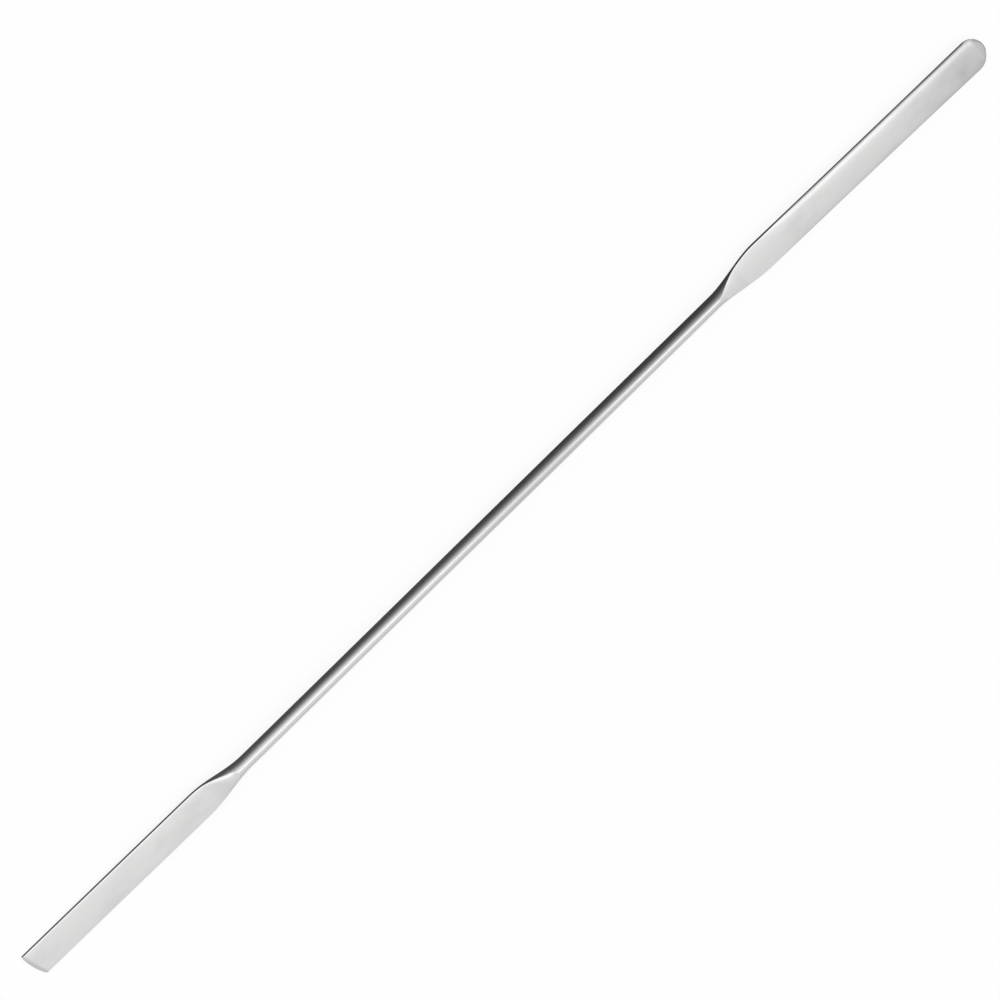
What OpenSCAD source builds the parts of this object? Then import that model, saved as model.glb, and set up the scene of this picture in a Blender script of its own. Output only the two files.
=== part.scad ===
// Double-ended lab spatula: one round steel rod with both ends hammered flat. The longer blade ends
// in a round tip, the shorter one in a square end, cut to a shallow arc that leans a little. Both
// faces of both ends are ground back to a thinner edge.
// The rod lies along X, with the round tip at +X. The square blade dips, so that its end is the
// lowest part, at z = 0: the spatula lies on that end's two corners and on the rod's other end.

/* [Rod] */
// Length of the whole spatula, from end to end
overall_l = 250; // [200:1:300]
// Diameter of the rod
rod_d = 3; // [2.4:0.1:3.6]

/* [Round blade] */
// Length of the hammered end, from the start of its flare to the tip
round_l = 70.5; // [45:0.5:95]
// Width at the root, just past the flare
round_root_w = 6.3; // [4.5:0.1:8]
// Width at the tip, where the blade is widest
round_tip_w = 6.7; // [4.5:0.1:8]
// Thickness of the blade
round_t = 0.9; // [0.5:0.05:1.4]
// Length over which the rod flares out to the blade's width
round_flare_l = 12.8; // [8:0.1:18]
// Where the faces start to sink, measured from the start of the flare
round_press_from = 0.6; // [0.5:0.1:4]
// Length over which the faces sink from the rod's height to the blade's thickness
round_press_l = 7; // [4:0.1:12]
// How far the flare throws the blade's root off the rod's line, sideways
round_throw = 0.3; // [-0.6:0.1:0.6]
// How far the tip stands off the rod's line, sideways
round_drift = -0.9; // [-1.5:0.1:1.5]
// Length of the ground faces, back from the tip
round_ground_l = 1.6; // [0.6:0.1:2.4]

/* [Square blade] */
// Length of the hammered end, from the start of its flare to the cut
square_l = 56.5; // [40:0.5:80]
// Width of the blade
square_w = 6.1; // [4.5:0.1:8]
// Thickness of the blade
square_t = 0.9; // [0.5:0.05:1.4]
// Length over which the rod flares out to the blade's width
square_flare_l = 12.4; // [8:0.1:18]
// Where the faces start to sink, measured from the start of the flare
square_press_from = 2.6; // [0.5:0.1:4]
// Length over which the faces sink from the rod's height to the blade's thickness
square_press_l = 7.6; // [4:0.1:12]
// How far the press sets the blade's root below the rod's centre line
square_set = 0.35; // [0:0.05:0.8]
// How far the blade's end dips below the rod's centre line
square_dip = 1.4; // [0.8:0.05:1.8]
// How far the cut end stands off the rod's line, sideways
square_drift = 0; // [-1.5:0.1:1.5]
// Radius of the arc that the end is cut to
square_end_r = 12.5; // [6:0.5:60]
// Lean of the cut, in degrees off square
square_end_lean = 7; // [-15:1:15]
// Length of the ground faces, back from the end
square_ground_l = 0.9; // [0.6:0.1:2.4]

/* [Both ends] */
// Angle of the ground faces to the blades' own, in degrees
ground_angle = 14; // [8:1:20]

/* [Hidden] */

rod_r = rod_d / 2;
// The flared ends stand this far proud of the rod, so that rod and ends fuse cleanly
seam = 0.015;
// Length of rod inside each end
tuck = 0.3;
// Height of the flanks' ellipse, which stays the same however wide the blade gets
flank_r = rod_r + seam;
// Steps up a flank from its middle to its edge, and along a flare, a blade and a round tip
flank_steps = 7;
flare_steps = 14;
blade_steps = 6;
tip_steps = 12;
// The round tip's last station stops this many degrees short of the blade's centre line
tip_gap = 3;
// Blank left past the square end for the cut to take off
cut_allowance = 3;
// Height of the rod's centre line, with the square end on the surface
rod_z = square_dip + square_t / 2;

// Ends of the plain rod
rod_x0 = -overall_l / 2 + square_l;
rod_x1 = overall_l / 2 - round_l;

// Smooth step from 0 to 1
function ease(t) = let (u = min(max(t, 0), 1)) u * u * (3 - 2 * u);

// Half the thickness, once the press has sunk the rod's height this far (0 to 1) towards t
function half_thick(t, sunk) = flank_r * 0.999 * (1 - sunk) + t / 2 * sunk;

// Half the width, once the flare has opened this far (0 to 1) towards w
function half_wide(w, open) = flank_r * (1 - open) + w / 2 * open;

// One ring of points round the blade. The station is [x, y, z, half width, half thickness, turn]:
// its centre, its size, and the angle by which it is fanned out towards the tip. The flanks are
// arcs of an ellipse as high as the rod, and the faces between them are flat.
function ring(station) =
    let (
        x = station[0], y = station[1], z = station[2], w = station[3], h = station[4],
        turn = station[5], top = asin(h / flank_r)
    )
    [for (side = [1, -1]) for (k = [-flank_steps : flank_steps])
        let (rise = side * top * k / flank_steps, reach = w * cos(rise))
        [x + reach * sin(turn), y + side * reach * cos(turn), z + flank_r * sin(rise)]];

// Skin over a row of rings. Each ring's points pair off across the blade, so that the two caps
// are strips of quads from flank to flank.
module skin(stations) {
    n = 2 * (2 * flank_steps + 1);
    last = len(stations) - 1;
    walls = [for (i = [0 : last - 1]) for (k = [0 : n - 1])
        let (a = i * n + k, b = i * n + (k + 1) % n) [a, a + n, b + n, b]];
    function strip(first) = [for (k = [0 : n / 2 - 2])
        [first + k, first + k + 1, first + n - 2 - k, first + n - 1 - k]];
    function flip(faces) = [for (f = faces) [f[3], f[2], f[1], f[0]]];
    polyhedron(
        points = [for (s = stations) each ring(s)],
        faces = concat(walls, strip(0), flip(strip(last * n))),
        convexity = 4
    );
}

// Stations along a flare, from the rod out to where the blade's own width begins. set and throw are
// how far the blade's root goes below the rod's centre line and sideways. slope and drift are how
// far the blade leans on from there, down and sideways, in mm for each mm of length.
function flare(w, t, flare_l, press_from, press_l, set, slope, throw, drift) =
    [for (i = [0 : flare_steps])
        let (x = flare_l * i / flare_steps, sunk = ease((x - press_from) / press_l),
            open = ease(x / flare_l))
        [x, throw * open + drift * x, -set * sunk - slope * max(x - press_from, 0),
         half_wide(w, open), half_thick(t, sunk), 0]];

// The longer end: a blade that widens a little towards a full round tip
module round_end() {
    tip_r = round_tip_w / 2;
    tip_x = round_l - tip_r * cos(tip_gap);
    drift = (round_drift - round_throw) / round_l;
    blade = [for (i = [1 : blade_steps])
        let (u = i / blade_steps, x = round_flare_l + (tip_x - round_flare_l) * u)
        [x, round_throw + drift * x, 0,
         (round_root_w + (round_tip_w - round_root_w) * u * u) / 2, round_t / 2, 0]];
    tip_y = round_throw + drift * tip_x;
    tip = [for (i = [1 : tip_steps])
        [tip_x, tip_y, 0, tip_r, round_t / 2, (90 - tip_gap) * i / tip_steps]];
    intersection() {
        skin(concat(
            flare(round_root_w, round_t, round_flare_l, round_press_from, round_press_l,
                0, 0, round_throw, drift),
            blade, tip
        ));
        translate([round_l - round_ground_l, 0, 0])
            ground(round_t, round_l);
    }
}

// The shorter end: a straight blade, cut to an arc whose middle stands off the blade's centre line
module square_end() {
    drift = square_drift / square_l;
    slope = (square_dip - square_set) / (square_l - square_press_from);
    blank_l = square_l + cut_allowance;
    blank_z = -square_set - slope * (blank_l - square_press_from);
    blank = [blank_l, drift * blank_l, blank_z, square_w / 2, square_t / 2, 0];
    ground_x = square_l - square_ground_l;
    intersection() {
        skin(concat(
            flare(square_w, square_t, square_flare_l, square_press_from, square_press_l,
                square_set, slope, 0, drift),
            [blank]
        ));
        square_cut();
        translate([ground_x, 0, -square_set - slope * (ground_x - square_press_from)])
            rotate([0, 0, -square_end_lean])
                ground(square_t, square_l);
    }
}

// What the cut leaves: a disc whose rim is the end's arc and, behind its centre, a slab. The disc's
// centre stands off the blade's centre line, which is what makes the arc lean.
module square_cut() translate([square_l - square_end_r, 0, -rod_d]) {
    translate([0, square_end_r * sin(square_end_lean), 0])
        cylinder(h = 2 * rod_d, r = square_end_r, $fn = 96);
    translate([-square_l, -square_w, 0])
        cube([square_l, 2 * square_w, 2 * rod_d]);
}

// What the grinding leaves: a wedge that narrows towards the tip. Its two slopes reach a blade of
// thickness t at x = 0, and behind that they clear it. It is longer and wider than the end's length l.
module ground(t, l) {
    apex = t / 2 / tan(ground_angle);
    back = 2 * l;
    rise = back * tan(ground_angle);
    rotate([90, 0, 0]) linear_extrude(height = back, center = true)
        polygon([[apex, 0], [apex - back, rise], [apex - back, -rise]]);
}

// The one piece: the plain rod, with a hammered end at each end of it
module spatula() color("silver") translate([0, 0, rod_z]) {
    translate([rod_x0 - tuck, 0, 0]) rotate([0, 90, 0])
        cylinder(h = rod_x1 - rod_x0 + 2 * tuck, r = rod_r, $fn = 64);
    translate([rod_x1, 0, 0]) round_end();
    translate([rod_x0, 0, 0]) mirror([1, 0, 0]) square_end();
}

spatula();
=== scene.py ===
import math

import bmesh
import bpy
import numpy as np
from bpy.props import FloatProperty, FloatVectorProperty, PointerProperty
from mathutils import Matrix, Vector


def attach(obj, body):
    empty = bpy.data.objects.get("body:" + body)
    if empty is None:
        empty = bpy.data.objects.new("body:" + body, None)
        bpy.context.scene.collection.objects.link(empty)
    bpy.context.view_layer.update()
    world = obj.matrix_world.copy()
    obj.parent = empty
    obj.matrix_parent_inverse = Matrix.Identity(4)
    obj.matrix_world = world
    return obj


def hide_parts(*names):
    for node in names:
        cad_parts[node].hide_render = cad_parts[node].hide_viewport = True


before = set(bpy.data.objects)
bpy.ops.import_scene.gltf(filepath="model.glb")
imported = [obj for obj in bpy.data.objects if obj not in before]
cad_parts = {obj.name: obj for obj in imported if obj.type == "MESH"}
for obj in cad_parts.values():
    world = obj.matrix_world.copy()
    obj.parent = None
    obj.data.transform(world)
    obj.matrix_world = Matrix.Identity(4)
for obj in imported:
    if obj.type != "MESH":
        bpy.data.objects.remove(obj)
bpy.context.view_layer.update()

bl_info = {
    "name": "Lab spatula",
    "version": (1, 0, 0),
    "blender": (4, 5, 0),
    "location": "View3D > Sidebar > Spatula",
    "description": "A double-ended steel spatula and the table it lies on",
    "category": "Object",
}


# ---------------------------------------------------------------- sizes and finish


def length(name, text, default):
    """A property that is a length, in metres."""
    return FloatProperty(
        name=name, description=text, default=default, unit="LENGTH", precision=5
    )


def angle(name, text, degrees):
    """A property that is an angle, given in degrees and kept in radians."""
    return FloatProperty(
        name=name,
        description=text,
        default=math.radians(degrees),
        subtype="ANGLE",
        unit="ROTATION",
    )


def share(name, text, default):
    """A property from 0 to 1."""
    return FloatProperty(
        name=name, description=text, default=default, min=0, max=1, subtype="FACTOR"
    )


def number(name, text, default):
    """A property that is a plain number."""
    return FloatProperty(name=name, description=text, default=default)


def colour(name, text, default):
    """A property that is a colour."""
    return FloatVectorProperty(
        name=name,
        description=text,
        default=default,
        size=3,
        min=0,
        max=1,
        subtype="COLOR",
    )


class SpatulaSizes(bpy.types.PropertyGroup):
    """The spatula's sizes and the small roundings that polishing leaves. The sizes are the solid's,
    apart from the square ground face, which starts softly and so further back."""

    overall_l: length("Overall length", "From end to end", 0.250)
    rod_d: length("Rod diameter", "Diameter of the round rod", 0.003)

    round_l: length("Round end", "Length of the hammered round end", 0.0705)
    round_root_w: length("Round blade, root", "Width just past the flare", 0.0063)
    round_tip_w: length("Round blade, tip", "Width at the tip", 0.0067)
    round_t: length("Round blade, thickness", "Thickness of the blade", 0.0009)
    round_flare_l: length("Round flare", "Length of the flare", 0.0128)
    round_press_from: length("Round press, start", "Where the faces sink", 0.0006)
    round_press_l: length("Round press, length", "Length of the sinking", 0.007)
    round_throw: length("Round throw", "Sideways throw of the blade's root", 0.0003)
    round_drift: length("Round drift", "Sideways drift of the tip", -0.0009)
    round_ground_l: length("Round ground face", "Ground length at the tip", 0.0016)

    square_l: length("Square end", "Length of the hammered square end", 0.0565)
    square_w: length("Square blade, width", "Width of the blade", 0.0061)
    square_t: length("Square blade, thickness", "Thickness of the blade", 0.0009)
    square_flare_l: length("Square flare", "Length of the flare", 0.0124)
    square_press_from: length("Square press, start", "Where the faces sink", 0.0026)
    square_press_l: length("Square press, length", "Length of the sinking", 0.0076)
    square_set: length("Square set", "Drop of the blade's root", 0.00035)
    square_dip: length("Square dip", "Drop of the blade's end", 0.0014)
    square_drift: length("Square drift", "Sideways drift of the end", 0.0)
    square_end_r: length("Square end, radius", "Radius of the cut", 0.0125)
    square_end_lean: angle("Square end, lean", "Lean of the cut", 7)
    square_ground_l: length("Square ground face", "Its length, with its soft start", 0.0013)
    square_bevel: angle("Square ground face, slope", "Its slope at the very rim", 20)
    near_corner: length("Near corner", "Radius of the square end's near corner", 0.00015)
    far_corner: length("Far corner", "Radius of the square end's far corner", 0.00045)

    ground_angle: angle("Round ground face, slope", "Slope of the ground faces", 14)
    ground_bend: length("Round ground face, bend", "Half length of its soft start", 0.00045)
    crease_r: length("Crease rounding", "Rounding of a face's long edges", 0.00006)
    crown: length("Crown", "How far a face falls off from its middle to its edge", 0.00007)
    neck_roll: length("Neck roll-off", "How far the square flare's flat is polished down", 0.00027)
    neck_roll_l: length("Neck roll-off, width", "Width of that roll-off", 0.0008)
    square_roll: length("Square roll-off", "How far that blade's edge is polished down", 0.00002)
    square_roll_l: length("Square roll-off, width", "Width of that roll-off", 0.0005)
    round_roll: length("Round roll-off", "How far that blade's edge is polished down", 0.00016)
    round_roll_l: length("Round roll-off, width", "Width of that roll-off", 0.0004)


class SteelFinish(bpy.types.PropertyGroup):
    """The stainless steel's colour and polish."""

    steel: colour("Steel", "Colour of the clean, polished steel", (0.68, 0.68, 0.675))
    dulled: colour("Dulled steel", "Colour where it is smudged", (0.5, 0.5, 0.497))
    roughness: share("Roughness", "Roughness of the polished rod", 0.21)
    face_roughness: share("Face roughness", "Roughness of the hammered faces", 0.23)
    ground_roughness: share("Ground roughness", "Roughness of the ground ends", 0.3)
    # painted shade: the rod's middle is darker and rougher, which dims its highlight there
    dimmed_middle: share("Handled middle", "How much duller the rod is where it is held", 0.48)
    dimmed_middle_x: length("Handled middle, place", "Where that is, along X", 0.008)
    dimmed_middle_l: length("Handled middle, length", "How far it reaches to either side", 0.036)
    # the round blade is darker towards its tip
    darker_tip: share("Used tip", "How much duller the round blade is towards its tip", 0.6)
    darker_tip_from: length("Used tip, start", "Where that starts, along X", 0.1)
    darker_tip_to: length("Used tip, end", "Where it is at its fullest, along X", 0.1245)
    smudge: share("Smudges", "Strength of the soft smudges", 0.3)
    smudge_l: length("Smudges, size", "Size of a smudge", 0.0045)
    smudge_cover: share("Smudges, cover", "How much of the steel they cover", 0.55)
    thumb: share("Thumb mark", "Strength of the mark a thumb left near the round tip", 0.32)
    thumb_x: length("Thumb mark, X", "Its place along X", 0.1187)
    thumb_y: length("Thumb mark, Y", "Its place along Y", -0.0022)
    thumb_r: length("Thumb mark, radius", "Its radius", 0.0018)
    grain: share("Grain", "Strength of the lengthwise polishing lines", 0.5)
    scratch: share("Scratches", "Strength of the hairline scratches", 0.12)


class StageSettings(bpy.types.PropertyGroup):
    """The table, the light and the camera."""

    floor: colour("Floor", "Colour of the table", (0.955, 0.955, 0.955))
    lightbox: share("Lightbox", "How much of the table's white is its own glow", 0.86)
    floor_r: length("Floor radius", "Radius of the table", 4.0)
    # the card glows and is seen only in the steel's reflections: a painted dark reflection on the
    # near side
    card: colour("Card", "Colour of the dark card's foot", (0.056, 0.056, 0.057))
    card_r: length("Card distance", "How far off the card stands", 0.5)
    card_from: length("Card edge", "Where the card starts beside the spatula, along Y", 0.00148)
    card_half: length("Card half width", "Half the card's width at its foot", 0.1262)
    card_spread: number("Card spread", "How much wider either half is at its far end", 0.19)
    card_x: length("Card place", "Where the card's middle is, along X", -0.0018)
    card_top: angle("Card top", "How high up the card reaches, seen from the spatula", 86)
    card_slant: number(
        "Card slant", "How much higher its dark part reaches for each metre towards +X", 1.1
    )
    sky: number("Sky", "Brightness of the soft light overhead", 1.03)
    horizon: number("Horizon", "Brightness of the soft light low down", 0.64)
    sky_dip: share("Sky dip", "How much dimmer the sky is in a soft band on the +X side", 0.14)
    near_fill: share("Near fill", "How much brighter the sky is low down on the near side", 0.5)
    sky_ends: share("Sky ends", "How much dimmer the sky is far out along X", 0.42)
    key: number("Key", "Brightness of the strip lamp's face", 0.6)
    key_lean: angle("Key lean", "Lean of the strip lamp towards the far side", 9)
    key_turn: angle("Key turn", "Turn of the strip lamp off the spatula's line", -7)
    key_up: length("Key height", "Distance of the strip lamp", 0.9)
    key_long: length("Key length", "Length of the strip lamp", 1.4)
    key_wide: length("Key width", "Width of the strip lamp", 0.27)
    camera_lean: angle("Camera lean", "Lean of the camera off the vertical", 26)
    camera_turn: angle("Camera turn", "Turn of the picture about the view", 44.44)
    camera_far: length("Camera distance", "From the camera to the rod", 0.4514)
    aim_x: length("Camera aim, X", "Where the camera looks, along X", -0.0002)
    aim_y: length("Camera aim, Y", "Where the camera looks, along Y", 0.00188)
    lens: number("Lens", "Focal length in mm", 86.4)


# ---------------------------------------------------------------- the spatula's surface

QUARTER = 36  # steps along a quarter of a cross-section
FLARE_ROWS = 70  # rings along each flare
ROUND_ROWS = 60  # rings along the round blade, up to its tip's centre
TIP_ROWS = 49  # rings fanned out round that tip
ROD_ROWS = 39  # rings between the flares
SQUARE_ROWS = (44, 16, 6)  # rings along the square blade, in three stretches ever closer
# The last rings before the square end: how far each has swung from a straight line to the end's
# arc, and how far it has shrunk onto the end's own face.
TO_RIM = [0, 0.08, 0.2, 0.36, 0.52, 0.66, 0.78, 0.86, 0.92, 0.96, 0.985, 1, 1, 1, 1]
ONTO_WALL = [0, 0, 0, 0, 0, 0, 0, 0, 0, 0, 0, 0, 0.35, 0.7, 1]


def ease(t):
    """Smooth step: 3t^2 - 2t^3, from 0 to 1."""
    t = np.clip(t, 0, 1)
    return t * t * (3 - 2 * t)


def ramp(s, r):
    """0 below -r, s above r, and between them the parabola (s + r)^2 / 4r that joins the two."""
    return np.where(s < -r, 0, np.where(s > r, s, (s + r) ** 2 / (4 * r)))


def spaced(a, b, n):
    """n even steps from a towards b, without b."""
    return a + (b - a) * np.arange(n) / n


def flare(z, blade, u, w, throw=0, drift=0, sink=0, slope=0):
    """Columns of one blade's stations at u, measured from the rod out: half width, half thickness
    and the centre's y and z. The width opens to w by a smooth step over the flare's length, and the
    thickness sinks by another over the press's. The centre goes sideways by throw and down by sink
    with them, and on from there by the straight slopes drift and slope."""
    names = ("t", "flare_l", "press_from", "press_l")
    t, flare_l, press_from, press_l = (getattr(z, f"{blade}_{name}") for name in names)
    r = z.rod_d / 2
    slope_bend = 0.001  # half length of the bend into the straight slope
    sunk = ease((u - press_from) / press_l)
    opened = ease(u / flare_l)
    return {
        "w": r * (1 - opened) + w / 2 * opened,
        "h": r * (1 - sunk) + t / 2 * sunk,
        "y": throw * opened + drift * u,
        "z": -sink * sunk - slope * ramp(u - press_from, slope_bend),
    }


def square_stations(z):
    """Columns of the square end's stations, from the rod out."""
    crease = z.square_l - z.square_ground_l
    close, closer = crease - 0.004, crease - 0.0006  # where the rings draw together
    lean_from, lean_l = crease - 0.008, 0.007  # where the rings take on the cut's lean
    neck_from, neck_l = 0.003, 0.007  # where the roll-off of the flare's flat dies away
    rim = len(TO_RIM)
    u = np.concatenate(
        [
            spaced(0, z.square_flare_l, FLARE_ROWS),
            spaced(z.square_flare_l, close, SQUARE_ROWS[0]),
            spaced(close, closer, SQUARE_ROWS[1]),
            spaced(closer, crease, SQUARE_ROWS[2]),
            np.full(rim, crease),
        ]
    )
    slope = (z.square_dip - z.square_set) / (z.square_l - z.square_press_from)
    drift = z.square_drift / z.square_l
    end = flare(z, "square", u, z.square_w, 0, drift, z.square_set, slope)
    before = np.zeros(len(u) - rim)
    end["lean"] = math.tan(z.square_end_lean) * ease((u - lean_from) / lean_l)
    end["share"] = np.concatenate([before, TO_RIM])
    end["wall"] = np.concatenate([before, ONTO_WALL])
    end["turn"] = np.zeros(len(u))
    end["crown"] = np.full(len(u), z.crown)
    neck = 1 - ease((u - neck_from) / neck_l)
    end["roll"] = z.square_roll + (z.neck_roll - z.square_roll) * neck
    end["spread"] = z.square_roll_l + (z.neck_roll_l - z.square_roll_l) * neck
    end["x"] = -z.overall_l / 2 + z.square_l - u
    return end


def round_stations(z):
    """Columns of the round end's stations, from the rod out."""
    tip_x = z.round_l - z.round_tip_w / 2
    roll_l = 0.015  # length past the flare over which the edge's roll-off comes in
    u = np.concatenate(
        [
            spaced(0, z.round_flare_l, FLARE_ROWS),
            spaced(z.round_flare_l, tip_x, ROUND_ROWS),
            np.full(TIP_ROWS, tip_x),
        ]
    )
    drift = (z.round_drift - z.round_throw) / z.round_l
    end = flare(z, "round", u, z.round_root_w, z.round_throw, drift)
    along = np.clip((u - z.round_flare_l) / (tip_x - z.round_flare_l), 0, 1)
    end["w"] = end["w"] + (z.round_tip_w - z.round_root_w) / 2 * along**2
    straight = np.zeros(FLARE_ROWS + ROUND_ROWS)
    end["turn"] = np.concatenate([straight, np.linspace(0, np.pi / 2, TIP_ROWS)])
    end["crown"] = np.full(len(u), z.crown)
    end["roll"] = z.round_roll * ease((u - z.round_flare_l) / roll_l)
    end["spread"] = np.full(len(u), z.round_roll_l)
    end["lean"] = end["share"] = end["wall"] = np.zeros(len(u))
    end["x"] = z.overall_l / 2 - z.round_l + u
    return end


def stations(z):
    """One row per ring, from the square end to the round tip: its centre (x, y, z), half width and
    half thickness (w, h), how far the faces fall off (crown, roll and the roll's spread), the turn
    that fans it out round the tip, and the lean, share and wall that shape the square end."""
    square, end = square_stations(z), round_stations(z)
    rod_x0, rod_x1 = -z.overall_l / 2 + z.square_l, z.overall_l / 2 - z.round_l
    rod = {
        "x": np.linspace(rod_x0, rod_x1, ROD_ROWS + 2)[1:-1],
        "w": np.full(ROD_ROWS, z.rod_d / 2),
        "h": np.full(ROD_ROWS, z.rod_d / 2),
        "spread": np.full(ROD_ROWS, z.round_roll_l),
    }
    none = np.zeros(ROD_ROWS)
    return {
        key: np.concatenate([square[key][::-1], rod.get(key, none), end[key]])[:, None]
        for key in square
    }


def square_end_x(z, y):
    """The square end's outline: an arc whose centre stands off the blade's middle, with a small
    quarter circle at each corner."""
    r, half = z.square_end_r, z.square_w / 2
    off = r * math.sin(z.square_end_lean)
    x = -z.overall_l / 2 + r - np.sqrt(np.maximum(r * r - (y - off) ** 2, 0))
    for side, c in ((1, z.near_corner), (-1, z.far_corner)):
        d = np.clip((side * y - half + c) / c, 0, 1)
        x = x + c * (1 - np.sqrt(1 - d * d))
    return x


def quarter(z, s, side):
    """The upper quarter of every ring on one side, from the middle of the face to the middle of
    the flank, as x, y and height, with its masks. Along it come the flat face, with a parabola's
    crown and a hyperbolic cosine's roll-off at its edge, a quadratic Bezier curve over the crease,
    and the flank, an arc of an ellipse as high as the rod. rho is the distance from the centre
    line, and t runs from 0 to 1 along the quarter."""
    full_crown, full_roll = 0.0015, 0.0006  # half widths of the flat from which these are full
    full_face, full_crease = 0.001, 0.0005  # the same for two of the masks
    face_fade, crease_fade, ground_fade = 0.0003, 0.00012, 0.00002  # lengths the masks fade over
    # shares of the quarter's steps: most that a flat gets, with the half width at which it gets
    # half of that, and what a full crease gets
    flat_share, half_flat, crease_share = 0.4, 0.0004, 0.12
    widest_crease = 0.45  # as a share of the flat's half width
    least_h, tiny = 1e-5, 1e-9  # they keep a height and a divisor above 0
    r = z.rod_d / 2
    crease_x = -z.overall_l / 2 + z.square_ground_l
    tip_x = z.overall_l / 2 - z.round_ground_l
    lean = math.tan(z.square_end_lean)
    t = np.arange(QUARTER + 1)[None, :] / QUARTER

    def plan(rho, edge):
        """Place in the plan: the rings lean and bend at one end and fan out at the other."""
        y = side * rho * np.cos(s["turn"])
        x = s["x"] - s["lean"] * y
        x = x + s["share"] * (square_end_x(z, y) - (crease_x - lean * y))
        return x + np.sin(s["turn"]) * np.maximum(rho, edge), y

    def ground(x, y):
        """How far the ground faces have come down at a place: along a parabola at the square end,
        and down a plane at the round one."""
        past = np.maximum(crease_x - lean * y - x, 0)
        square = math.tan(z.square_bevel) / (2 * z.square_ground_l) * past**2
        return square + math.tan(z.ground_angle) * ramp(x - tip_x, z.ground_bend)

    # the flat's half width follows from the thickness there, and the other way round
    h = s["h"]
    for _ in range(3):
        flat = s["w"] * np.cos(np.arcsin(np.clip(h / r, 0, 1)))
        h = np.maximum(s["h"] - ground(*plan(flat, flat)), least_h)
    crown = s["crown"] * np.clip(flat / full_crown, 0, 1) ** 2
    roll = s["roll"] * np.clip(flat / full_roll, 0, 1)
    h_edge = h - crown - roll
    top = np.arcsin(np.clip(h_edge / r, 0, 1))
    flat = s["w"] * np.cos(top)
    inner = flat - np.minimum(z.crease_r, widest_crease * flat)

    def fall(rho):
        """How far the face has fallen off: crown (rho / flat)^2, and the roll-off's cosh."""
        ratio = rho / np.maximum(flat, tiny)
        return crown * ratio**2 + roll * np.cosh(rho / s["spread"]) / np.cosh(flat / s["spread"])

    # the flat goes up to t1, the rounded crease up to t2, and then comes the flank
    t1 = flat_share * flat / (flat + half_flat)
    t2 = t1 + crease_share * (flat - inner) / z.crease_r
    on_flat = inner * np.clip(t / np.maximum(t1, tiny), 0, 1)
    flat_x, flat_y = plan(on_flat, inner)
    flat_z = s["h"] - ground(flat_x, flat_y) - fall(on_flat)
    inner_z = s["h"] - ground(*plan(inner, inner)) - fall(inner)

    arc = np.hypot(s["w"] * np.sin(top), r * np.cos(top))
    below = np.maximum(top - (flat - inner) / arc, top / 2)
    q = np.clip((t - t1) / np.maximum(t2 - t1, tiny), 0, 1)
    a, b, c = (1 - q) ** 2, 2 * q * (1 - q), q * q
    bend_rho = a * inner + b * flat + c * s["w"] * np.cos(below)
    bend_z = a * inner_z + b * h_edge + c * r * np.sin(below)

    turn = below * (1 - np.clip((t - t2) / (1 - t2), 0, 1))
    flank_rho, flank_z = s["w"] * np.cos(turn), r * np.sin(turn)
    rho = np.where(t < t1, on_flat, np.where(t < t2, bend_rho, flank_rho))
    height = np.where(t < t1, flat_z, np.where(t < t2, bend_z, flank_z))
    x, y = plan(rho, inner)
    off = flat - rho
    masks = {
        "flat_face": ease(off / face_fade) * np.clip(flat / full_face, 0, 1),
        "crease": np.exp(-np.abs(off) / crease_fade) * np.clip(flat / full_crease, 0, 1),
        "ground": np.clip(ground(x, y) / ground_fade, 0, 1) + 0 * rho,
    }
    return x, y + s["y"], height * (1 - s["wall"]), masks


def whole_ring(near, far):
    """Four quarters, from the middle of the upper face down the near flank and round again."""
    n = QUARTER
    turns = (near, near[:, ::-1], far, far[:, ::-1])
    return np.concatenate([part[:, :n] for part in turns], 1)


def spatula_surface(z):
    """The whole surface as a grid of points, one ring per row, and the masks on it."""
    s = stations(z)
    nx, ny, nz, near = quarter(z, s, 1)
    fx, fy, fz, far = quarter(z, s, -1)
    x, y = whole_ring(nx, fx), whole_ring(ny, fy)
    n = QUARTER
    height = np.concatenate(
        [nz[:, :n], -nz[:, ::-1][:, :n], -fz[:, :n], fz[:, ::-1][:, :n]], 1
    )
    rod_z = z.square_dip + z.square_t / 2
    points = np.stack([x, y, height + s["z"] + rod_z], 2)
    masks = {k: whole_ring(near[k], far[k]) for k in near}
    return points, masks


def ring_faces(rows, columns):
    """Quads between neighbouring rings, each ring closed on itself, with their faces outward."""
    i = np.arange(rows - 1)[:, None] * columns
    j = np.arange(columns)[None, :]
    k = (j + 1) % columns
    return np.stack([i + j, i + columns + j, i + columns + k, i + k], 2).reshape(-1, 4)


def sheet_faces(rows, columns):
    """Quads of an open sheet, with their faces towards the spatula."""
    i = np.arange(rows - 1)[:, None] * columns
    j = np.arange(columns - 1)[None, :]
    quads = [i + j, i + j + 1, i + columns + j + 1, i + columns + j]
    return np.stack(quads, 2).reshape(-1, 4)


def add_piece(name, points, faces, masks=None):
    """An object with a smooth mesh of these points and faces. Masks are kept as attributes of the
    points, and a piece that has them is closed: its doubled points are merged."""
    same_point, no_edge = 1e-7, 1e-8  # distances, in metres
    mesh = bpy.data.meshes.new(name)
    mesh.from_pydata(points.reshape(-1, 3), [], faces)
    for key, values in (masks or {}).items():
        layer = mesh.attributes.new(key, "FLOAT", "POINT")
        layer.data.foreach_set("value", np.ascontiguousarray(values, np.float32).ravel())
    if masks:
        shape = bmesh.new()
        shape.from_mesh(mesh)
        bmesh.ops.remove_doubles(shape, verts=shape.verts, dist=same_point)
        bmesh.ops.dissolve_degenerate(shape, edges=shape.edges, dist=no_edge)
        shape.to_mesh(mesh)
        shape.free()
    mesh.polygons.foreach_set("use_smooth", [True] * len(mesh.polygons))
    mesh.update()
    piece = bpy.data.objects.new(name, mesh)
    bpy.context.scene.collection.objects.link(piece)
    return piece


# ---------------------------------------------------------------- node groups


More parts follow.
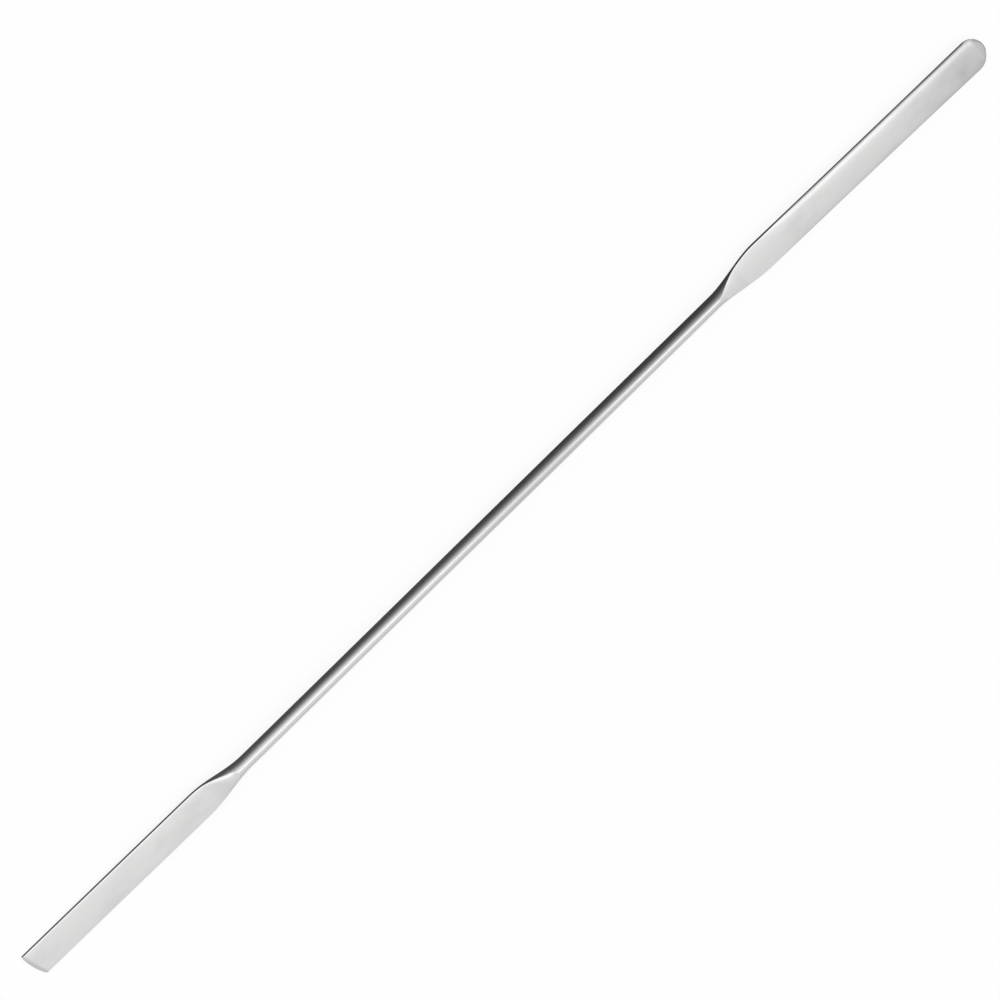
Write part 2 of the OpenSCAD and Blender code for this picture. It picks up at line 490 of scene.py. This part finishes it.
def new_group(name, inputs, outputs):
    """An empty shader group with float inputs, given as name: default, and float outputs."""
    group = bpy.data.node_groups.new(name, "ShaderNodeTree")
    for label, default in inputs.items():
        socket = group.interface.new_socket(label, in_out="INPUT", socket_type="NodeSocketFloat")
        socket.default_value = default
    for label in outputs:
        group.interface.new_socket(label, in_out="OUTPUT", socket_type="NodeSocketFloat")
    return group, group.nodes.new("NodeGroupInput"), group.nodes.new("NodeGroupOutput")


def wire(tree, source, target):
    """Link an output to an input."""
    tree.links.new(source, target)


def feed(tree, value, socket):
    """Link an input to value if that is an output, or else set it to value."""
    if isinstance(value, bpy.types.NodeSocket):
        wire(tree, value, socket)
    else:
        socket.default_value = value


def math_node(tree, kind, *values, clamp=False):
    """A Math node of this kind on up to three values, each a number or an output."""
    node = tree.nodes.new("ShaderNodeMath")
    node.operation = kind
    node.use_clamp = clamp
    for socket, value in zip(node.inputs, values):
        feed(tree, value, socket)
    return node.outputs[0]


def plus(tree, a, b):
    """a + b"""
    return math_node(tree, "ADD", a, b)


def minus(tree, a, b, clamp=False):
    """a - b"""
    return math_node(tree, "SUBTRACT", a, b, clamp=clamp)


def times(tree, a, b, clamp=False):
    """a * b"""
    return math_node(tree, "MULTIPLY", a, b, clamp=clamp)


def distance(tree, a, b):
    """|a - b|"""
    return math_node(tree, "ABSOLUTE", minus(tree, a, b))


def map_range(tree, value, low, high, to_low=0.0, to_high=1.0):
    """value, taken by a smooth step from low..high to to_low..to_high."""
    node = tree.nodes.new("ShaderNodeMapRange")
    node.interpolation_type = "SMOOTHSTEP"
    wire(tree, value, node.inputs["Value"])
    for key, limit in (
        ("From Min", low),
        ("From Max", high),
        ("To Min", to_low),
        ("To Max", to_high),
    ):
        node.inputs[key].default_value = limit
    return node.outputs["Result"]


def position(tree, kind="Object"):
    """The X, Y and Z outputs of these coordinates."""
    coords = tree.nodes.new("ShaderNodeTexCoord")
    split = tree.nodes.new("ShaderNodeSeparateXYZ")
    wire(tree, coords.outputs[kind], split.inputs["Vector"])
    return split.outputs


def stretched_noise(tree, along, across, detail, rough, turn=0.0, shift=0.0):
    """Noise on Object coordinates, with its own scale along X and across it, turned about Z."""
    coords = tree.nodes.new("ShaderNodeTexCoord")
    spin = tree.nodes.new("ShaderNodeMapping")
    spin.inputs["Rotation"].default_value = (0, 0, turn)
    spin.inputs["Location"].default_value = (shift, 0, 0)
    wire(tree, coords.outputs["Object"], spin.inputs["Vector"])
    scale = tree.nodes.new("ShaderNodeCombineXYZ")
    for socket, value in zip(scale.inputs, (along, across, across)):
        feed(tree, value, socket)
    stretch = tree.nodes.new("ShaderNodeVectorMath")
    stretch.operation = "MULTIPLY"
    wire(tree, spin.outputs["Vector"], stretch.inputs[0])
    wire(tree, scale.outputs["Vector"], stretch.inputs[1])
    noise = tree.nodes.new("ShaderNodeTexNoise")
    noise.inputs["Scale"].default_value = 1.0
    noise.inputs["Detail"].default_value = detail
    noise.inputs["Roughness"].default_value = rough
    wire(tree, stretch.outputs["Vector"], noise.inputs["Vector"])
    return noise.outputs["Fac"]


def polishing_lines_group():
    """Fine lines that polishing leaves along the rod, over broader ones, as a height and a shade
    from 0 to 1."""
    group, given, out = new_group(
        "polishing_lines", {"Along": 70.0, "Across": 9000.0}, ("Height", "Shade")
    )
    along, across = given.outputs["Along"], given.outputs["Across"]
    fine_share, broad_share = 0.65, 0.35
    sparser_along, sparser_across = 0.35, 0.22  # the broader lines' scales, to the fine ones'
    darkest, brightest = 0.3, 0.7
    fine = stretched_noise(group, along, across, detail=3.0, rough=0.6)
    broad = stretched_noise(
        group,
        times(group, along, sparser_along),
        times(group, across, sparser_across),
        detail=2.0,
        rough=0.5,
        shift=0.3,
    )
    broad = times(group, broad, broad_share)
    both = math_node(group, "MULTIPLY_ADD", fine, fine_share, broad)
    wire(group, both, out.inputs["Height"])
    wire(group, map_range(group, both, darkest, brightest), out.inputs["Shade"])
    return group


def smudges_group():
    """Soft cloudy smudges from handling, a few millimetres across, as a mask from 0 to 1: the part
    of a noise above a level, which sinks from bare to full as the cover grows."""
    group, given, out = new_group("smudges", {"Size": 0.006, "Cover": 0.5}, ("Mask",))
    bare, sink, sharp = 0.78, 0.5, 5.0
    longer = 0.5  # the scale along X, to the one across it
    scale = math_node(group, "DIVIDE", 1.0, given.outputs["Size"])
    clouds = stretched_noise(group, times(group, scale, longer), scale, detail=4.0, rough=0.55)
    level = minus(group, bare, times(group, given.outputs["Cover"], sink))
    over = minus(group, clouds, level)
    wire(group, times(group, over, sharp, clamp=True), out.inputs["Mask"])
    return group


def hairlines_group():
    """Hairline scratches in three directions, each the line where a stretched noise crosses one
    half, kept in patches only."""
    group, given, out = new_group("hairlines", {"Width": 0.012, "Density": 900.0}, ("Mask",))
    across = given.outputs["Density"]
    longer = 0.05  # the scale along a hairline, to the one across it
    patch_along, patch_across = 130.0, 300.0
    patch_from, patch_to = 0.55, 0.66
    total = None
    for turn, shift in ((0.16, 0.1), (-0.32, 0.4), (1.05, 0.7)):
        along = times(group, across, longer)
        noise = stretched_noise(group, along, across, 0.0, 0.5, turn, shift)
        off = math_node(group, "DIVIDE", distance(group, noise, 0.5), given.outputs["Width"])
        line = minus(group, 1.0, off, clamp=True)
        patch = stretched_noise(group, patch_along, patch_across, 1.0, 0.5, shift=shift)
        line = times(group, line, map_range(group, patch, patch_from, patch_to))
        total = line if total is None else math_node(group, "MAXIMUM", total, line)
    wire(group, total, out.inputs["Mask"])
    return group


def thumb_mark_group():
    """One soft mark where a thumb held the blade, as a mask that fades out raggedly from its
    middle."""
    group, given, out = new_group("thumb_mark", {"X": 0.0, "Y": 0.0, "Radius": 0.002}, ("Mask",))
    raggedness = 1.2
    full, gone = 0.1, 1.1  # shares of the radius
    here = position(group)
    off_x = minus(group, here["X"], given.outputs["X"])
    off_y = minus(group, here["Y"], given.outputs["Y"])
    squared = math_node(group, "MULTIPLY_ADD", off_x, off_x, times(group, off_y, off_y))
    away = math_node(group, "DIVIDE", math_node(group, "SQRT", squared), given.outputs["Radius"])
    noise = stretched_noise(group, 500.0, 700.0, detail=2.0, rough=0.5)
    ragged = math_node(group, "MULTIPLY_ADD", noise, raggedness, -raggedness / 2)
    mask = map_range(group, plus(group, away, ragged), full, gone, 1.0, 0.0)
    wire(group, mask, out.inputs["Mask"])
    return group


def press_marks_group():
    """Slow unevenness that hammering and pressing leave in a face, as a height from -0.5 to 0.5."""
    group, given, out = new_group("press_marks", {"Size": 0.004}, ("Height",))
    longer = 0.6  # the scale along X, to the one across it
    scale = math_node(group, "DIVIDE", 1.0, given.outputs["Size"])
    waves = stretched_noise(group, times(group, scale, longer), scale, 1.0, 0.4, shift=0.9)
    wire(group, minus(group, waves, 0.5), out.inputs["Height"])
    return group


def place(tree, group, **values):
    """A copy of a group in this tree, with these inputs set."""
    node = tree.nodes.new("ShaderNodeGroup")
    node.node_tree = group
    for key, value in values.items():
        node.inputs[key].default_value = value
    return node.outputs


def mask_of(tree, name):
    """A mask kept in the mesh, as an output."""
    node = tree.nodes.new("ShaderNodeAttribute")
    node.attribute_type = "GEOMETRY"
    node.attribute_name = name
    return node.outputs["Fac"]


def mix_number(tree, factor, a, b):
    """a where the factor is 0, b where it is 1."""
    node = tree.nodes.new("ShaderNodeMix")
    node.data_type = "FLOAT"
    for socket, value in ((0, factor), (2, a), (3, b)):
        feed(tree, value, node.inputs[socket])
    return node.outputs[0]


def mix_colour(tree, factor, a, b):
    """The same for two plain colours."""
    node = tree.nodes.new("ShaderNodeMix")
    node.data_type = "RGBA"
    wire(tree, factor, node.inputs[0])
    node.inputs[6].default_value = (*a, 1)
    node.inputs[7].default_value = (*b, 1)
    return node.outputs[2]


def bump(tree, height, depth, strength=1.0, normal=None):
    """A normal bent by a height, depth metres deep, on top of another normal."""
    node = tree.nodes.new("ShaderNodeBump")
    node.inputs["Distance"].default_value = depth
    node.inputs["Strength"].default_value = strength
    wire(tree, height, node.inputs["Height"])
    if normal is not None:
        wire(tree, normal, node.inputs["Normal"])
    return node.outputs["Normal"]


def new_material(name):
    """A material, its tree and its shader."""
    material = bpy.data.materials.new(name)
    material.use_nodes = True
    tree = material.node_tree
    return material, tree, tree.nodes["Principled BSDF"]


def steel_material(finish):
    """Stainless steel: polished lengthwise, uneven and a little dulled on the hammered faces, and
    ground rougher at the two ends, with painted shade that dims the rod's highlight over its middle."""
    material, tree, shader = new_material("stainless_steel")
    shader.inputs["Metallic"].default_value = 1.0
    flat, crease, ground = (mask_of(tree, k) for k in ("flat_face", "crease", "ground"))
    lines = place(tree, polishing_lines_group())
    smudge = place(
        tree, smudges_group(), Size=finish.smudge_l, Cover=finish.smudge_cover
    )["Mask"]
    scratch = place(tree, hairlines_group())["Mask"]
    press = place(tree, press_marks_group())["Height"]
    thumb = place(
        tree, thumb_mark_group(), X=finish.thumb_x, Y=finish.thumb_y, Radius=finish.thumb_r
    )["Mask"]
    here = position(tree)
    # painted shade over the rod's middle: darker and rougher, which dims its highlight there
    off_middle = distance(tree, here["X"], finish.dimmed_middle_x)
    dimmed_middle = map_range(tree, off_middle, 0.0, finish.dimmed_middle_l, finish.dimmed_middle, 0.0)
    # darker towards the round tip
    darker_tip = map_range(tree, here["X"], finish.darker_tip_from, finish.darker_tip_to, 0.0, finish.darker_tip)

    # how dull the steel is: smudges show most on the flat faces, and the creases are worn bright
    lines_dull, ground_dull, crease_bright = 0.055, 0.62, 0.13
    on_rod = 0.3  # how much of a smudge shows on the rod
    dull = times(tree, smudge, math_node(tree, "MULTIPLY_ADD", flat, 1 - on_rod, on_rod))
    dull = times(tree, dull, finish.smudge)
    dull = plus(tree, dull, times(tree, lines["Shade"], lines_dull * finish.grain))
    # painted shade over the rod's middle, and darker towards the round tip
    dull = plus(tree, dull, plus(tree, dimmed_middle, darker_tip))
    dull = plus(tree, dull, times(tree, thumb, finish.thumb))
    dull = math_node(tree, "MAXIMUM", dull, times(tree, ground, ground_dull))
    dull = minus(tree, dull, times(tree, crease, crease_bright), clamp=True)
    wire(tree, mix_colour(tree, dull, finish.steel, finish.dulled), shader.inputs["Base Color"])

    dimmed_middle_rough, smudge_rough, scratch_rough, crease_smooth = 0.22, 0.05, 0.1, 0.04
    rough = mix_number(tree, flat, finish.roughness, finish.face_roughness)
    # rougher over the rod's middle, under the painted shade there
    rough = plus(tree, rough, times(tree, dimmed_middle, dimmed_middle_rough))
    rough = mix_number(tree, ground, rough, finish.ground_roughness)
    rough = plus(tree, rough, times(tree, smudge, smudge_rough * finish.smudge))
    rough = plus(tree, rough, times(tree, scratch, scratch_rough * finish.scratch))
    rough = minus(tree, rough, times(tree, crease, crease_smooth))
    wire(tree, rough, shader.inputs["Roughness"])

    press_deep, line_deep, scratch_deep = 0.000012, 0.0000012, 0.000002
    normal = bump(tree, times(tree, press, flat), press_deep)
    normal = bump(tree, lines["Height"], line_deep, finish.grain, normal)
    normal = bump(tree, minus(tree, 1.0, scratch), scratch_deep, finish.scratch, normal)
    wire(tree, normal, shader.inputs["Normal"])
    return material


class SPATULA_OT_make_spatula(bpy.types.Operator):
    """Make the spatula: one smooth steel surface from the square end to the round tip"""

    bl_idname = "spatula.make_spatula"
    bl_label = "Make spatula"

    def execute(self, context):
        sizes = context.scene.spatula_sizes
        points, masks = spatula_surface(sizes)
        faces = ring_faces(*points.shape[:2])
        piece = add_piece("spatula_steel", points, faces, masks)
        piece.data.materials.append(steel_material(context.scene.steel_finish))
        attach(piece, "root")
        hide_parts("spatula")
        return {"FINISHED"}


# ---------------------------------------------------------------- the stage


CARD_LIFT = 0.0003  # how high the card's flat part lies over the table
# The card's glow, a painted reflection seen only in the steel: a share of the way from level to
# overhead, and a multiple of the colour of its foot.
CARD_LEVELS = (
    (0.0, 1.0),
    (0.01, 1.3),
    (0.19, 2.2),
    (0.37, 3.9),
    (0.54, 6.5),
    (0.70, 10.7),
    (0.88, 16.6),
    (0.95, 19.5),
)


def flat_disc(name, radius):
    """A round table top: one face, its corners on a circle."""
    corners = 96
    turn = np.linspace(0, 2 * np.pi, corners, endpoint=False)
    rim = np.stack([radius * np.cos(turn), radius * np.sin(turn), np.zeros(corners)], 1)
    mesh = bpy.data.meshes.new(name)
    mesh.from_pydata(rim, [], [list(range(corners))])
    piece = bpy.data.objects.new(name, mesh)
    bpy.context.scene.collection.objects.link(piece)
    return piece


def card_surface(settings):
    """A card on the near side, seen only in the steel's reflections, where its glow paints the dark
    band
    on the near flanks: flat on the table from just beside the spatula, then bent up in a circle
    about the spatula to near overhead. Two parameters: the way along that profile, and the way
    along X, over a width that grows with the distance."""
    radius = settings.card_r
    flat_rows, bent_rows, columns = 24, 60, 9
    foot_to, bend_from = 0.999, 0.002  # a share of the distance, and an angle in radians
    foot_l = radius * foot_to - settings.card_from
    foot = settings.card_from + foot_l * np.linspace(0, 1, flat_rows) ** 2
    rise = np.linspace(bend_from, settings.card_top, bent_rows)
    y = np.concatenate([foot, radius * np.cos(rise)])
    z = np.concatenate([np.full(flat_rows, CARD_LIFT), radius * np.sin(rise)])
    half = settings.card_half + settings.card_spread * np.hypot(y, z) / radius
    x = half[:, None] * np.linspace(-1, 1, columns)[None, :] + settings.card_x
    return np.stack([x, np.repeat(y[:, None], columns, 1), np.repeat(z[:, None], columns, 1)], 2)


def card_material(settings):
    """A glow seen only in reflections, a painted reflection of a dark surround: dark at the foot,
    and lighter towards its top edge, with the dark part higher towards +X.
    """
    material, tree, shader = new_material("reflection_card")
    here = position(tree)
    steep = math_node(tree, "DIVIDE", here["Z"], settings.card_r)
    high = math_node(tree, "DIVIDE", math_node(tree, "ARCSINE", steep), math.pi / 2)
    high = math_node(tree, "MULTIPLY_ADD", here["X"], -settings.card_slant, high)
    levels = tree.nodes.new("ShaderNodeValToRGB")
    wire(tree, high, levels.inputs["Fac"])
    stops = levels.color_ramp.elements
    while len(stops) < len(CARD_LEVELS):
        stops.new(0.5)
    for stop, (way_up, level) in zip(stops, CARD_LEVELS):
        stop.position = way_up
        stop.color = (*(c * level for c in settings.card), 1)
    shader.inputs["Base Color"].default_value = (0, 0, 0, 1)
    shader.inputs["Specular IOR Level"].default_value = 0
    wire(tree, levels.outputs["Color"], shader.inputs["Emission Color"])
    shader.inputs["Emission Strength"].default_value = 1.0
    return material


def floor_material(settings):
    """Matt white board with the faintest cloudiness, on a light box: part of what is seen of it
    is its own even glow."""
    material, tree, shader = new_material("white_board")
    cloudiness = 0.995  # the darkest cloud's colour, to the board's
    clouds = stretched_noise(tree, 9.0, 9.0, detail=2.0, rough=0.5)
    base = tuple(settings.floor)
    darker = tuple(c * cloudiness for c in base)
    wire(tree, mix_colour(tree, clouds, darker, base), shader.inputs["Base Color"])
    shader.inputs["Roughness"].default_value = 0.9
    shader.inputs["Specular IOR Level"].default_value = 0
    path = tree.nodes.new("ShaderNodeLightPath").outputs
    seen = math_node(tree, "MAXIMUM", path["Is Camera Ray"], path["Is Glossy Ray"])
    seen = math_node(tree, "MAXIMUM", seen, path["Is Transmission Ray"])
    glow = tree.nodes.new("ShaderNodeEmission")
    blend = tree.nodes.new("ShaderNodeMixShader")
    wire(tree, times(tree, seen, settings.lightbox), blend.inputs[0])
    wire(tree, shader.outputs[0], blend.inputs[1])
    wire(tree, glow.outputs[0], blend.inputs[2])
    wire(tree, blend.outputs[0], tree.nodes["Material Output"].inputs["Surface"])
    return material


def build_world(settings):
    """Soft light from all round: brighter overhead and low down on the near side, dimmer in a band
    towards the round tip and far out along X."""
    world = bpy.data.worlds.new("soft_light")
    bpy.context.scene.world = world
    world.use_nodes = True
    tree = world.node_tree
    way = position(tree, "Generated")
    # all of these are parts of a direction that is 1 long
    low, overhead = -0.1, 1.0
    near_from, near_to = -0.15, 0.25
    dip_x, dip_half = 0.27, 0.24
    ends_from, ends_to = 0.68, 0.95
    level = map_range(tree, way["Z"], low, overhead, settings.horizon, settings.sky)
    near = map_range(tree, way["Y"], near_from, near_to, 0.0, settings.near_fill)
    level = plus(tree, level, times(tree, near, minus(tree, 1.0, way["Z"])))
    aside = distance(tree, way["X"], dip_x)
    dip = map_range(tree, aside, 0.0, dip_half, 1 - settings.sky_dip, 1.0)
    out = math_node(tree, "ABSOLUTE", way["X"])
    ends = map_range(tree, out, ends_from, ends_to, 1.0, 1 - settings.sky_ends)
    background = tree.nodes["Background"]
    background.inputs["Color"].default_value = (1, 1, 1, 1)
    wire(tree, times(tree, level, times(tree, dip, ends)), background.inputs["Strength"])


def build_key(settings):
    """One soft strip lamp overhead, along the spatula and leaning to the far side."""
    lamp = bpy.data.lights.new("key", "AREA")
    lamp.shape = "RECTANGLE"
    lamp.size, lamp.size_y = settings.key_long, settings.key_wide
    lamp.energy = settings.key * math.pi * lamp.size * lamp.size_y
    key = bpy.data.objects.new("key", lamp)
    bpy.context.scene.collection.objects.link(key)
    lift = Matrix.Translation((0, 0, settings.key_up))
    turned = Matrix.Rotation(settings.key_turn, 4, "Z")
    key.matrix_world = turned @ Matrix.Rotation(settings.key_lean, 4, "X") @ lift
    key.visible_camera = False


def build_camera(settings, aim_z):
    """The camera stands on the near side, leaning off the vertical, and is turned about its view."""
    lean, turn = settings.camera_lean, settings.camera_turn
    back = Vector((0, math.sin(lean), math.cos(lean)))
    down = Vector((0, -math.cos(lean), math.sin(lean)))
    along = Vector((1, 0, 0))
    right = math.cos(turn) * along + math.sin(turn) * down
    up = math.sin(turn) * along - math.cos(turn) * down
    lens = bpy.data.cameras.new("camera")
    lens.lens = settings.lens
    lens.sensor_width = 36
    lens.clip_start = 0.01
    camera = bpy.data.objects.new("camera", lens)
    bpy.context.scene.collection.objects.link(camera)
    pose = Matrix((right, up, back)).transposed().to_4x4()
    pose.translation = Vector((settings.aim_x, settings.aim_y, aim_z)) + back * settings.camera_far
    camera.matrix_world = pose
    bpy.context.scene.camera = camera


class SPATULA_OT_make_stage(bpy.types.Operator):
    """Make the table, the glowing card that paints reflections, the light and the camera"""

    bl_idname = "spatula.make_stage"
    bl_label = "Make stage"

    def execute(self, context):
        settings = context.scene.stage_settings
        sizes = context.scene.spatula_sizes
        floor = flat_disc("table", settings.floor_r)
        floor.data.materials.append(floor_material(settings))
        points = card_surface(settings)
        card = add_piece("reflection_card", points, sheet_faces(*points.shape[:2]))
        card.data.materials.append(card_material(settings))
        # seen only in the steel's reflections, where it paints the dark near side, and casting no
        # shadow
        card.visible_camera = False
        card.visible_diffuse = False
        card.visible_shadow = False
        card.visible_transmission = False
        build_world(settings)
        build_key(settings)
        build_camera(settings, sizes.square_dip + sizes.square_t / 2)
        context.scene.view_settings.view_transform = "Standard"
        return {"FINISHED"}


class SPATULA_PT_panel(bpy.types.Panel):
    """The spatula's sizes, finish and stage"""

    bl_label = "Lab spatula"
    bl_idname = "SPATULA_PT_panel"
    bl_space_type = "VIEW_3D"
    bl_region_type = "UI"
    bl_category = "Spatula"

    def draw(self, context):
        layout = self.layout
        for operator, group in (
            ("spatula.make_spatula", "spatula_sizes"),
            (None, "steel_finish"),
            ("spatula.make_stage", "stage_settings"),
        ):
            if operator:
                layout.operator(operator)
            settings = getattr(context.scene, group)
            column = layout.column(align=True)
            for key in settings.__annotations__:
                column.prop(settings, key)


GROUPS = (
    ("spatula_sizes", SpatulaSizes),
    ("steel_finish", SteelFinish),
    ("stage_settings", StageSettings),
)
OPERATORS = (SPATULA_OT_make_spatula, SPATULA_OT_make_stage)


def register():
    """Add the settings, the operators and the panel."""
    for name, group in GROUPS:
        bpy.utils.register_class(group)
        setattr(bpy.types.Scene, name, PointerProperty(type=group))
    for operator in OPERATORS:
        bpy.utils.register_class(operator)
    bpy.utils.register_class(SPATULA_PT_panel)


def unregister():
    """Take them away again."""
    bpy.utils.unregister_class(SPATULA_PT_panel)
    for operator in reversed(OPERATORS):
        bpy.utils.unregister_class(operator)
    for name, group in reversed(GROUPS):
        delattr(bpy.types.Scene, name)
        bpy.utils.unregister_class(group)


def main():
    """Build the spatula and its stage."""
    register()
    bpy.ops.spatula.make_spatula()
    bpy.ops.spatula.make_stage()


if __name__ == "__main__":
    main()
